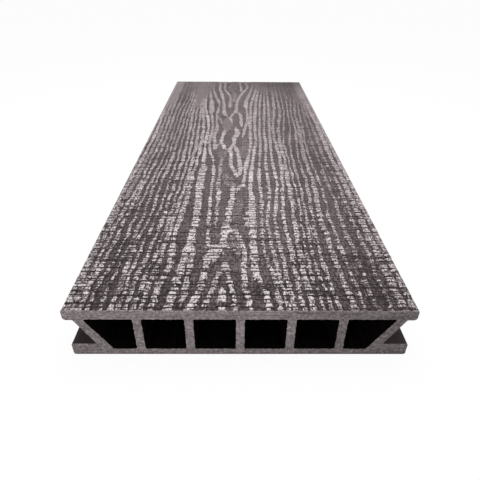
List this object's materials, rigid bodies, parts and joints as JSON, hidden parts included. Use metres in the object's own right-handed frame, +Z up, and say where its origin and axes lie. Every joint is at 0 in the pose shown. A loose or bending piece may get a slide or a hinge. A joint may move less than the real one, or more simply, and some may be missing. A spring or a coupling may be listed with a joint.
{
  "type": "hollow composite decking board",
  "caption": "Hollow extruded wood-plastic composite decking board with embossed wood grain on top, open chambers through its length and a clip groove along each side.",
  "frame": {"origin": "centre of the flat underside, on the surface the board lies on", "axes": "+X across the board's width, +Y along its length, away from the sawn end seen in the picture, +Z up out of the embossed walking face"},
  "size_m": [0.14, 0.375, 0.025],
  "materials": {
    "composite": "matte"
  },
  "bodies": {
    "root": {"deck_board": "composite"}
  },
  "joints": []
}
